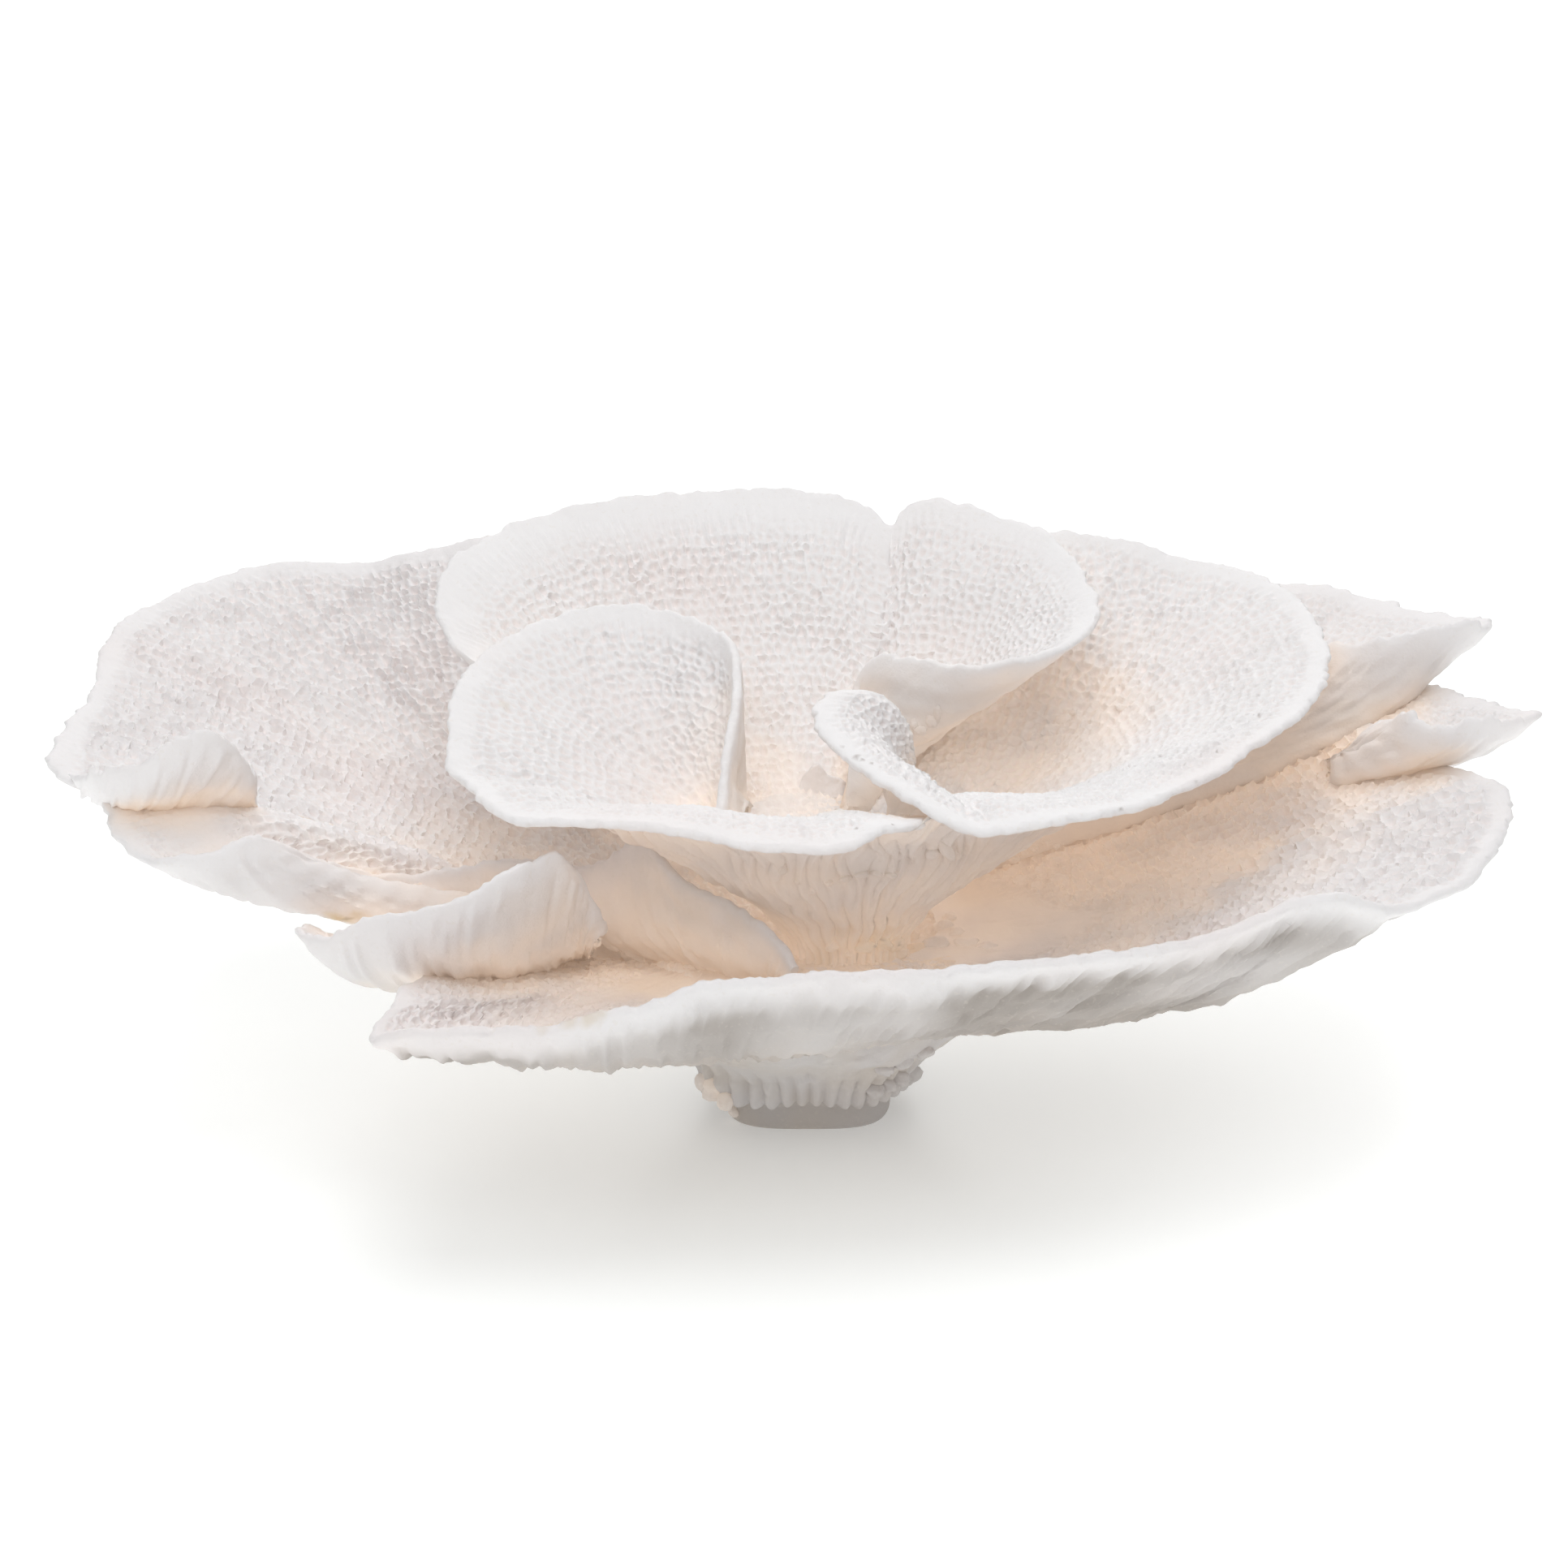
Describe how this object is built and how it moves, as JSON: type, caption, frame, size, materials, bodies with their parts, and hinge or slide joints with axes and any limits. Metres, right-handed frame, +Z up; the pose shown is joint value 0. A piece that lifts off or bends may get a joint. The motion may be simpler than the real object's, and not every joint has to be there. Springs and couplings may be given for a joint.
{
  "type": "foliose coral skeleton",
  "caption": "Dry foliose stony coral skeleton: a shallow dish of overlapping ruffled plates around a raised inner cup of curled plates, on a stubby foot sawn flat.",
  "frame": {"origin": "on the sawn foot's flat face, under the middle of the coral", "axes": "+X to the right and +Y to the back of the view in the picture, +Z up, away from the sawn face"},
  "size_m": [0.3876, 0.2673, 0.138],
  "materials": {
    "lower_plates": "matt, warm white, tan in its hollows",
    "upper_cup": "matt, warm white, tan in its hollows",
    "foot": "matt, worn grey-beige, sawn flat below"
  },
  "bodies": {
    "root": {"holdfast": "foot", "lower_left_frond": "lower_plates", "lower_left_tab": "lower_plates", "lower_near_left_frond": "lower_plates", "lower_folded_frond": "lower_plates", "lower_front_frond": "lower_plates", "lower_near_right_frond": "lower_plates", "lower_right_frond": "lower_plates", "lower_back_right_frond": "lower_plates", "lower_back_frond": "lower_plates", "upper_stem": "upper_cup", "upper_left_frond": "upper_cup", "upper_right_frond": "upper_cup", "upper_back_frond": "upper_cup", "upper_ear_frond": "upper_cup"}
  },
  "joints": []
}
